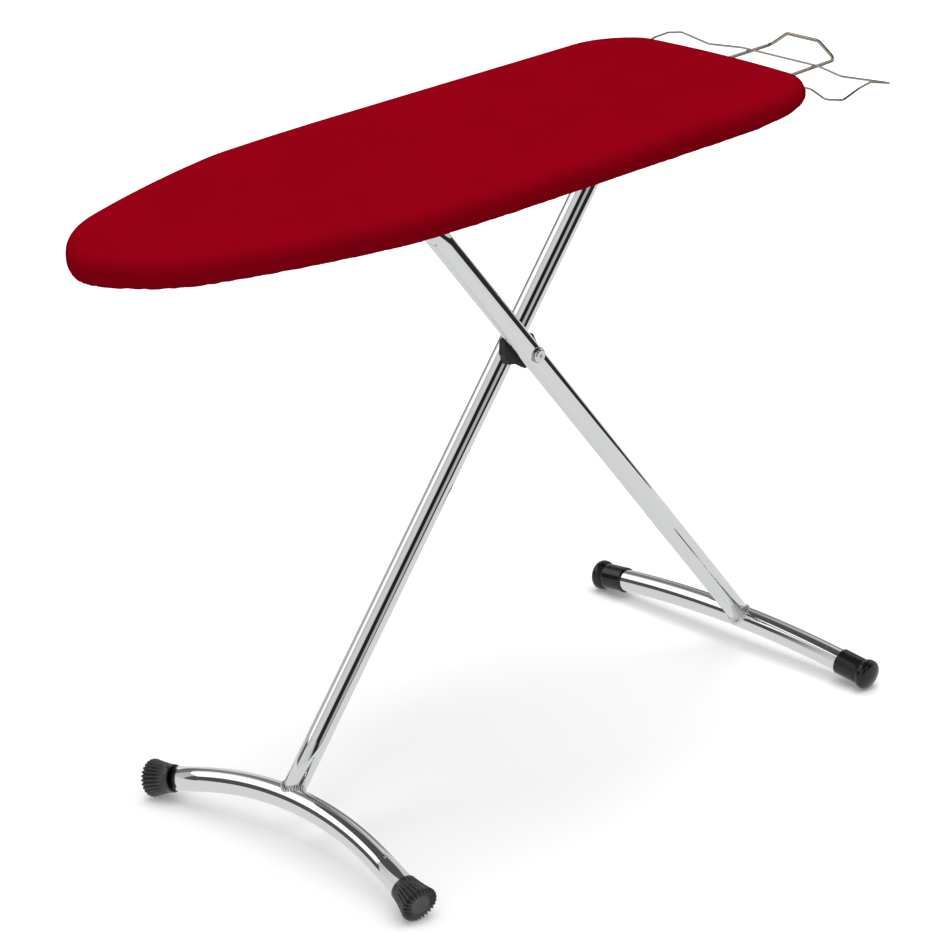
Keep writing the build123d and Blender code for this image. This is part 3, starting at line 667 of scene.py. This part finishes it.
def weld_bead(name, foot, y):
    """Rippled bead where a leg tube stands on its foot tube."""
    low, high = leg_line(foot, y)
    up = (high - low).normalized()
    side = Vector((0, 1, 0))
    other = up.cross(side)
    path = []
    for k in range(WELD_POINTS):
        a = 2 * math.pi * k / WELD_POINTS
        out = LEG_RADIUS * (math.cos(a) * side + math.sin(a) * other)
        point = low + out
        across = Vector((point.x - foot.mid.x, 0, point.z - foot.at(point.y / foot.radius).z))
        b = across.x * up.x + across.z * up.z
        c = across.x ** 2 + across.z ** 2 - FOOT_RADIUS ** 2
        length = up.x ** 2 + up.z ** 2
        path.append(point + up * (-b + math.sqrt(max(b * b - length * c, 0))) / length)

    def swell(k, angle):
        wobble = noise.noise(Vector((k * 0.11, math.cos(angle), 3.0)))
        return 1.0 + 0.13 * math.sin(k * 2 * math.pi / WELD_POINTS * WELD_RIPPLES) + 0.22 * wobble

    return tube(name, path, WELD_BEAD, 14, closed=True, swell=swell)


def build_leg(label, foot, y):
    low, high = leg_line(foot, y)
    end = high - (high - low).normalized() * LEG_TOP_GAP
    count = 12
    path = [low.lerp(end, k / count) for k in range(count + 1)]
    body = f"{label}_leg"
    piece(tube(f"{label}_leg_chrome", path, LEG_RADIUS, 96), body, "chrome_tube", f"{label}_leg_tube")
    piece(tube(f"{label}_foot_chrome", foot.path(), FOOT_RADIUS, 96), body, "chrome_tube",
          f"{label}_foot_tube")
    piece(weld_bead(f"{label}_weld_bead", foot, y), body, "chrome_tube", f"{label}_weld",
          material=WELD_MATERIAL)


def ribbed_profile(sink):
    """Flared rubber ferrule from its lip to its flat end, sunk by this much between ribs."""
    shoulder = CAP_LENGTH - CAP_CORNER
    profile = [(FOOT_RADIUS, 0.0012), (FOOT_RADIUS + 0.0006, 0), (CAP_MOUTH_R - 0.0006, 0)]
    steps = 24
    for k in range(steps + 1):
        share = k / steps
        flare = (CAP_END_R + CAP_CORNER - CAP_MOUTH_R) * share ** 1.45
        ease = min(max(share / 0.45 - 0.2, 0), 1)
        profile.append((CAP_MOUTH_R + flare - sink * ease, 0.0007 + (shoulder - 0.0007) * share))
    corner = CAP_CORNER - sink
    for k in range(1, 13):
        a = math.pi / 2 * k / 12
        profile.append((CAP_END_R + corner * math.cos(a), shoulder + corner * math.sin(a)))
    recess = 0.0012
    profile += [(CAP_END_R * 0.84, CAP_LENGTH - sink * 0.85),
                (CAP_END_R * 0.72, CAP_LENGTH - recess / 3 - sink * 0.5),
                (CAP_END_R * 0.62, CAP_LENGTH - recess), (0.001, CAP_LENGTH - recess)]
    return profile


def domed_profile():
    """Smooth rubber ferrule: sleeve, narrow groove, lip and flattened dome."""
    lip = SLEEVE_LENGTH + 0.003
    profile = [(FOOT_RADIUS, 0.001), (FOOT_RADIUS + 0.0005, 0), (SLEEVE_R - 0.0006, 0), (SLEEVE_R, 0.0006)]
    profile += [(SLEEVE_R, 0.002 + (SLEEVE_LENGTH - 0.0025) * k / 8) for k in range(9)]
    profile += [(SLEEVE_R - 0.0003, SLEEVE_LENGTH + 0.0002), (SLEEVE_R - 0.001, SLEEVE_LENGTH + 0.0006),
                (SLEEVE_R - 0.001, lip - 0.0008), (SLEEVE_R - 0.0006, lip - 0.0004), (DOME_R - 0.0019, lip),
                (DOME_R - 0.0012, lip + 0.0004), (DOME_R - 0.0003, lip + 0.003), (DOME_R, DOME_START - 0.001)]
    turn, steps = math.radians(DOME_TURN), 12
    for k in range(steps + 1):
        a = turn * k / steps
        profile.append((DOME_R - DOME_CORNER + DOME_CORNER * math.cos(a),
                        DOME_START + DOME_CORNER * math.sin(a)))
    edge, height = profile[-1]
    flat_r = edge / math.cos(turn)
    for k in range(1, steps + 1):
        a = turn + (math.radians(89.5) - turn) * k / steps
        profile.append((flat_r * math.cos(a), height + flat_r * (math.sin(a) - math.sin(turn))))
    return profile


def build_caps():
    for side, label in ((-1, "near"), (1, "far")):
        cap = lathe(f"ribbed_ferrule_{label}", ribbed_profile(0.0), FRONT.mouth(side), FRONT.direction(side),
                    RIBS * 12, ribbed_profile(RIB_HEIGHT), RIBS)
        piece(cap, "front_leg", "black_rubber", f"front_cap_{label}")
        cap = lathe(f"domed_ferrule_{label}", domed_profile(), REAR.mouth(side), REAR.direction(side))
        piece(cap, "rear_leg", "black_gloss", f"rear_cap_{label}")


# =============================================================== iron rest
def mirrored_path(half):
    """A half path that starts off the middle and ends on y = 0, with its mirror image added."""
    back = [Vector((p.x, -p.y, p.z)) for p in reversed(half[:-1])]
    return half + back


def build_rest():
    y = REST_LEG_Y
    legs = [(REST_INNER_X, y, REST_LOW_Z), (0.488, y, REST_LOW_Z), (0.545, y, REST_HIGH_Z),
            (REST_END_X, y - 0.001, REST_HIGH_Z + 0.001),
            (REST_END_X - 0.002, y - 0.029, REST_HIGH_Z + 0.022),
            (REST_END_X - 0.002, 0, REST_HIGH_Z + 0.022)]
    path = mirrored_path(rounded_path(legs, [0.08, 0.08, 0.009, 0.009]))
    piece(tube("rest_heavy_wire", path, REST_WIRE_R, 32), "iron_rest", "chrome_wire", "rest_frame_wire")

    high = TRAY_HIGH
    tray = [(0.592, 0, high), (0.592, 0.065, high), (0.580, 0.114, high - 0.002),
            (0.600, 0.180, high - 0.002), (0.564, 0.174, high + 0.006), (0.538, 0.176, high + 0.004),
            (0.503, 0.176, high - 0.005), (0.490, 0.158, high - 0.005), (0.512, 0.116, high - 0.004),
            (0.510, 0.066, high - 0.004), (0.510, 0, high - 0.004)]
    half = rounded_path(tray, [0.022, 0.022, 0.003, 0.008, 0.020, 0.008, 0.012, 0.020, 0.020])
    ring = half + [Vector((p.x, -p.y, p.z)) for p in reversed(half[1:-1])]
    piece(tube("rest_light_wire", ring, TRAY_WIRE_R, 24, closed=True), "iron_rest", "chrome_wire",
          "rest_tray_wire")


# ================================================================ fittings
def hide_from_mirrors():
    """Keeps the board's top and its frame out of the tubes' reflections, as in a light tent."""
    pieces = ("cover_cloth", "felt_layer", "hem_elastic_cord", "rim_tube")
    nodes = ("deck_mesh", "cross_braces", "rail_near", "rail_far", "rivets", "lever_strip", "lever_grip")
    for obj in [bpy.data.objects[name] for name in pieces] + [frame["nodes"][name] for name in nodes]:
        obj.visible_glossy = False


def dress_cad_nodes():
    """Gives every CAD node still shown its slot's material and slightly broken edges."""
    slots = {row["node"]: row["material_slot"] for row in frame["record"]["subparts"]}
    for name, obj in frame["nodes"].items():
        obj.data.materials.clear()
        obj.data.materials.append(BOLT_MATERIAL if name == "pivot_bolt" else SLOT_MATERIAL[slots[name]])
        if slots[name] in ("zinc_steel", "black_plastic", "grey_enamel"):
            bevel = obj.modifiers.new("edges", "BEVEL")
            bevel.width = 0.0003
            bevel.segments = 2
            bevel.limit_method = "ANGLE"
            bevel.angle_limit = math.radians(40)
            bevel.harden_normals = False


# =================================================================== stage
def area_light(name, place, target, size, power, mirrored=False):
    light = bpy.data.lights.new(name, "AREA")
    light.shape = "RECTANGLE"
    light.size, light.size_y = size
    light.energy = power
    obj = bpy.data.objects.new(name, light)
    bpy.context.scene.collection.objects.link(obj)
    obj.location = place
    obj.rotation_euler = (Vector(target) - Vector(place)).to_track_quat("-Z", "Y").to_euler()
    obj.visible_glossy = mirrored


def stage_disc(name, radius, z):
    """Flat round mesh on the floor that isn't part of the object."""
    turns = [2 * math.pi * k / 128 for k in range(128)]
    rim = [(radius * math.cos(a), radius * math.sin(a), z) for a in turns]
    obj = mesh_object(name, rim, [tuple(range(128))], smooth=False)
    return obj


def build_floor():
    """White sweep: lit by the lamps near the object and glowing a little further out."""
    floor = stage_disc("studio_floor", 25.0, 0.0)
    floor.visible_glossy = False
    floor.visible_diffuse = False
    shader = Shader("studio_paper", Roughness=0.9, Specular_IOR_Level=0.0)
    shader.drive("Base Color", shader.ramp(shader.noise(3.0), (0.3, 0.95), (0.7, 0.97)))
    distance = shader.node("ShaderNodeVectorMath", Vector=shader.coords)
    distance.operation = "LENGTH"
    reach = shader.math("DIVIDE", distance.outputs["Value"], 6.0)
    shader.drive("Emission Color", shader.ramp(reach, (0.10, 0.12), (0.60, 0.70)))
    shader.bsdf.inputs["Emission Strength"].default_value = 1.0
    floor.data.materials.append(shader.material)

    mirror = stage_disc("floor_in_reflections", 2.4, -0.002)
    for ray in ("camera", "diffuse", "transmission", "volume_scatter", "shadow"):
        setattr(mirror, f"visible_{ray}", False)
    shader = Shader("studio_paper_reflected", Roughness=1.0, Specular_IOR_Level=0.0)
    shader.bsdf.inputs["Base Color"].default_value = (0, 0, 0, 1)
    shader.drive("Emission Color", shader.ramp(shader.noise(0.7), (0.3, 0.70), (0.7, 0.76)))
    shader.bsdf.inputs["Emission Strength"].default_value = 1.0
    mirror.data.materials.append(shader.material)


# What polished parts mirror in each band of height: (azimuth in degrees, brightness) edges.
LOW_WALL = [(-180, 0.50), (-141, 0.50), (-138, 0.01), (4, 0.02), (12, 0.55), (58, 0.60), (60, 0.95),
            (94, 0.95), (98, 0.4), (128, 0.4), (132, 0.42), (180, 0.50)]
MIDDLE_WALL = [(-180, 0.50), (-140, 0.45), (-125, 0.02), (-105, 0.01), (-100, 0.32), (-84, 0.36),
               (-78, 0.01), (-50, 0.01), (-42, 0.45), (20, 0.5), (26, 0.16), (40, 0.14), (46, 0.5),
               (60, 0.5), (62, 0.10), (92, 0.15), (96, 0.38), (122, 0.38), (126, 0.08), (148, 0.05),
               (151, 0.5), (180, 0.5)]
HIGH_WALL = [(-180, 0.50), (-151, 0.52), (-138, 0.42), (-133, 0.01), (-105, 0.01), (-100, 0.32),
             (-84, 0.36), (-78, 0.01), (-50, 0.01), (-42, 0.45), (34, 0.5), (38, 0.3), (48, 0.3),
             (52, 0.13), (80, 0.18), (90, 0.6), (98, 1.0), (142, 1.0), (145, 0.38), (180, 0.50)]
MIDDLE_FROM, HIGH_FROM, CEILING_FROM = -0.01, 0.44, 0.80     # heights of the direction
CEILING = 0.06
WALL_GLOW = 1.35
SKY_GLOW = 0.55               # soft light from above, and sent back up by the floor
GROUND_GLOW = 0.90


def build_world():
    """White to the camera, even for soft light, and banded walls for polished parts."""
    world = bpy.data.worlds.new("studio")
    bpy.context.scene.world = world
    world.use_nodes = True
    graph = Graph(world.node_tree, "Generated")
    split = graph.node("ShaderNodeSeparateXYZ", Vector=graph.coords)
    x, y, z = (split.outputs[axis] for axis in "XYZ")
    turn = graph.math("DIVIDE", graph.math("ARCTAN2", y, x), 2 * math.pi)
    turn = graph.math("ADD", turn, 0.5)

    def wall(edges):
        return graph.ramp(turn, *[(azimuth / 360 + 0.5, float(glow)) for azimuth, glow in edges])

    tent = wall(LOW_WALL)
    bands = [(MIDDLE_FROM, wall(MIDDLE_WALL)), (HIGH_FROM, wall(HIGH_WALL)), (CEILING_FROM, CEILING)]
    for start, band in bands:
        above = graph.math("GREATER_THAN", z, start)
        tent = graph.node("ShaderNodeMix", Factor=above, A=tent, B=band).outputs[0]
    tent = graph.math("MULTIPLY", tent, WALL_GLOW)
    path = graph.node("ShaderNodeLightPath")
    seen, mirrored = path.outputs["Is Camera Ray"], path.outputs["Is Glossy Ray"]
    plain = graph.math("SUBTRACT", graph.math("SUBTRACT", 1.0, seen), mirrored)
    total = graph.math("MULTIPLY_ADD", mirrored, tent, seen)
    soft = graph.math("MULTIPLY_ADD", graph.math("GREATER_THAN", z, 0.0), SKY_GLOW - GROUND_GLOW, GROUND_GLOW)
    total = graph.math("MULTIPLY_ADD", plain, soft, total)
    background = graph.nodes["Background"]
    background.inputs["Color"].default_value = (1, 1, 1, 1)
    graph.links.new(total, background.inputs["Strength"])


def build_stage():
    build_floor()
    build_world()
    area_light("overhead_soft", (0.0, 0.0, 4.2), (0, 0, 0.4), (4.5, 3.2), 150.0)
    area_light("left_soft", (-3.4, -1.2, 2.2), (0, 0, 0.4), (1.6, 2.6), 12.0)
    for k in range(3):
        place = (-0.4 + 0.9 * k, -3.2 - 0.2 * k, 2.6 + 0.3 * k)
        area_light(f"sparkle_{k}", place, (0.3, 0, 0.2), (0.28, 0.28), 1.5, mirrored=True)


def build_camera():
    camera = bpy.data.cameras.new("camera")
    camera.sensor_width = 36.0
    camera.lens = 134.15
    obj = bpy.data.objects.new("camera", camera)
    obj.location = (-3.0399, -2.8666, 2.1648)
    obj.rotation_euler = [math.radians(a) for a in (67.22, 0.0, -46.63)]
    bpy.context.scene.collection.objects.link(obj)
    bpy.context.scene.camera = obj


dress_cad_nodes()
cover = build_cover()
build_felt()
build_hem()
build_frame_tube()
build_leg("front", FRONT, LEG_OFFSET)
build_leg("rear", REAR, -LEG_OFFSET)
build_caps()
build_rest()
hide_from_mirrors()
build_stage()
build_camera()
bpy.context.scene.view_settings.view_transform = "Standard"
